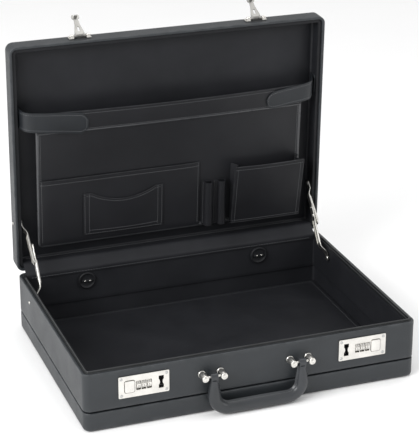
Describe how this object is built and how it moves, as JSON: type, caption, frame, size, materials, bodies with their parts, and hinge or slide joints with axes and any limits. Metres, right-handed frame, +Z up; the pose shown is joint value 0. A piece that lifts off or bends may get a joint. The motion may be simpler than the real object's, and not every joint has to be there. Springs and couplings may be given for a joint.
{
  "type": "briefcase",
  "caption": "Hard-sided leather attache case standing open: expandable base, hinged lid with organizer pockets, folding stays, combination locks and padded handle.",
  "frame": {"origin": "middle of the flat bottom face of the tray", "axes": "+X along the width to the right as seen from the handle side, +Y from the handle to the hinges, +Z up"},
  "size_m": [0.4534, 0.3738, 0.4363],
  "materials": {
    "black_leather": "fine-grained black leather, semi-matt, stitched along the edges",
    "black_lining": "smooth black lining leather, matt",
    "black_trim": "black moulded valance, semi-gloss",
    "nickel": "bright nickel plating",
    "lock_steel": "plain plated sheet steel"
  },
  "bodies": {
    "tray": {"tray_shell": "black_leather", "expansion_sleeve": "black_trim", "tray_floor_lining": "black_lining"},
    "case_frame": {"frame_shell": "black_leather", "frame_liner": "black_lining", "base_rim": "black_trim", "hinge_flap": "black_lining", "hinge_leaf_base_right": "lock_steel", "hinge_leaf_base_left": "lock_steel", "lock_plate_right": "nickel", "lock_plate_left": "nickel", "lock_case_right": "lock_steel", "lock_case_left": "lock_steel", "handle_post_inner_right": "nickel", "handle_post_inner_left": "nickel", "handle_post_outer_right": "nickel", "handle_post_outer_left": "nickel", "handle_pin_right": "nickel", "handle_pin_left": "nickel", "stay_base_rivet_right": "nickel", "stay_base_rivet_left": "nickel"},
    "lid": {"lid_shell": "black_leather", "lid_rim": "black_trim", "lid_lining": "black_lining", "hinge_leaf_lid_right": "lock_steel", "hinge_leaf_lid_left": "lock_steel", "strap_anchor_right": "black_leather", "strap_anchor_left": "black_leather", "hasp_plate_right": "nickel", "hasp_plate_left": "nickel", "stay_lid_rivet_right": "nickel", "stay_lid_rivet_left": "nickel"},
    "organizer": {"organizer_panel": "black_leather", "document_pocket": "black_leather", "card_pocket": "black_leather", "pen_holder": "black_leather", "gusset_pocket": "black_leather", "strap_left": "black_leather", "strap_right": "black_leather"},
    "handle": {"handle_lug_right": "black_trim", "handle_lug_left": "black_trim", "handle_grip": "black_leather"},
    "hasp_right": {"hasp_right": "nickel"},
    "latch_button_right": {"latch_button_right": "nickel"},
    "dial_1_right": {"dial_1_right": "nickel"},
    "dial_2_right": {"dial_2_right": "nickel"},
    "dial_3_right": {"dial_3_right": "nickel"},
    "stay_lower_right": {"stay_lower_right": "nickel", "stay_elbow_rivet_right": "nickel"},
    "stay_upper_right": {"stay_upper_right": "nickel"},
    "expansion_knob_right": {"expansion_knob_right": "black_trim"},
    "hasp_left": {"hasp_left": "nickel"},
    "latch_button_left": {"latch_button_left": "nickel"},
    "dial_1_left": {"dial_1_left": "nickel"},
    "dial_2_left": {"dial_2_left": "nickel"},
    "dial_3_left": {"dial_3_left": "nickel"},
    "stay_lower_left": {"stay_lower_left": "nickel", "stay_elbow_rivet_left": "nickel"},
    "stay_upper_left": {"stay_upper_left": "nickel"},
    "expansion_knob_left": {"expansion_knob_left": "black_trim"}
  },
  "joints": [
    {"name": "frame_expansion", "type": "slide", "parent": "tray", "child": "case_frame", "axis": [0, 0, 1], "range_m": [0, 0.019]},
    {"name": "lid_hinge", "type": "hinge", "parent": "case_frame", "child": "lid", "pos_m": [0, 0.1637, 0.08], "axis": [1, 0, 0], "range_deg": [0, 88]},
    {"name": "organizer_tilt", "type": "hinge", "parent": "lid", "child": "organizer", "pos_m": [0, 0.16757, 0.11235], "axis": [-1, 0, 0], "range_deg": [0, 5]},
    {"name": "handle_swing", "type": "hinge", "parent": "case_frame", "child": "handle", "pos_m": [0, -0.174, 0.056], "axis": [-1, 0, 0], "range_deg": [0, 175]},
    {"name": "stay_lower_right_pivot", "type": "hinge", "parent": "case_frame", "child": "stay_lower_right", "pos_m": [0.2143, 0.1, 0.063], "axis": [1, 0, 0], "range_deg": [0, 98.5]},
    {"name": "stay_upper_right_pivot", "type": "hinge", "parent": "lid", "child": "stay_upper_right", "pos_m": [0.2143, 0.17628, 0.14968], "axis": [-1, 0, 0], "range_deg": [0, 125.8]},
    {"name": "hasp_right_close", "type": "hinge", "parent": "lid", "child": "hasp_right", "pos_m": [0.1255, 0.16317, 0.41048], "axis": [1, 0, 0], "range_deg": [0, 142], "stiffness_Nm_per_rad": 0.02},
    {"name": "latch_button_right_press", "type": "slide", "parent": "case_frame", "child": "latch_button_right", "axis": [0, 1, 0], "range_m": [0, 0.002], "stiffness_N_per_m": 400},
    {"name": "expansion_knob_right_turn", "type": "hinge", "parent": "case_frame", "child": "expansion_knob_right", "pos_m": [0.129, 0.152, 0.059], "axis": [0, 1, 0], "range_deg": [0, 90]},
    {"name": "dial_1_right_turn", "type": "hinge", "parent": "case_frame", "child": "dial_1_right", "pos_m": [0.141, -0.1583, 0.056], "axis": [1, 0, 0], "continuous": true},
    {"name": "dial_2_right_turn", "type": "hinge", "parent": "case_frame", "child": "dial_2_right", "pos_m": [0.148, -0.1583, 0.056], "axis": [1, 0, 0], "continuous": true},
    {"name": "dial_3_right_turn", "type": "hinge", "parent": "case_frame", "child": "dial_3_right", "pos_m": [0.155, -0.1583, 0.056], "axis": [1, 0, 0], "continuous": true},
    {"name": "stay_lower_left_pivot", "type": "hinge", "parent": "case_frame", "child": "stay_lower_left", "pos_m": [-0.2143, 0.1, 0.063], "axis": [1, 0, 0], "range_deg": [0, 98.5]},
    {"name": "stay_upper_left_pivot", "type": "hinge", "parent": "lid", "child": "stay_upper_left", "pos_m": [-0.2143, 0.17628, 0.14968], "axis": [-1, 0, 0], "range_deg": [0, 125.8]},
    {"name": "hasp_left_close", "type": "hinge", "parent": "lid", "child": "hasp_left", "pos_m": [-0.1255, 0.16317, 0.41048], "axis": [1, 0, 0], "range_deg": [0, 142], "stiffness_Nm_per_rad": 0.02},
    {"name": "latch_button_left_press", "type": "slide", "parent": "case_frame", "child": "latch_button_left", "axis": [0, 1, 0], "range_m": [0, 0.002], "stiffness_N_per_m": 400},
    {"name": "expansion_knob_left_turn", "type": "hinge", "parent": "case_frame", "child": "expansion_knob_left", "pos_m": [-0.129, 0.152, 0.059], "axis": [0, 1, 0], "range_deg": [0, 90]},
    {"name": "dial_1_left_turn", "type": "hinge", "parent": "case_frame", "child": "dial_1_left", "pos_m": [-0.141, -0.1583, 0.056], "axis": [1, 0, 0], "continuous": true},
    {"name": "dial_2_left_turn", "type": "hinge", "parent": "case_frame", "child": "dial_2_left", "pos_m": [-0.148, -0.1583, 0.056], "axis": [1, 0, 0], "continuous": true},
    {"name": "dial_3_left_turn", "type": "hinge", "parent": "case_frame", "child": "dial_3_left", "pos_m": [-0.155, -0.1583, 0.056], "axis": [1, 0, 0], "continuous": true}
  ],
  "couplings": [
    {"joint": "stay_lower_right_pivot", "follows": "lid_hinge", "ratio": 1.1182},
    {"joint": "stay_upper_right_pivot", "follows": "lid_hinge", "ratio": 1.4278},
    {"joint": "stay_lower_left_pivot", "follows": "lid_hinge", "ratio": 1.1182},
    {"joint": "stay_upper_left_pivot", "follows": "lid_hinge", "ratio": 1.4278}
  ]
}
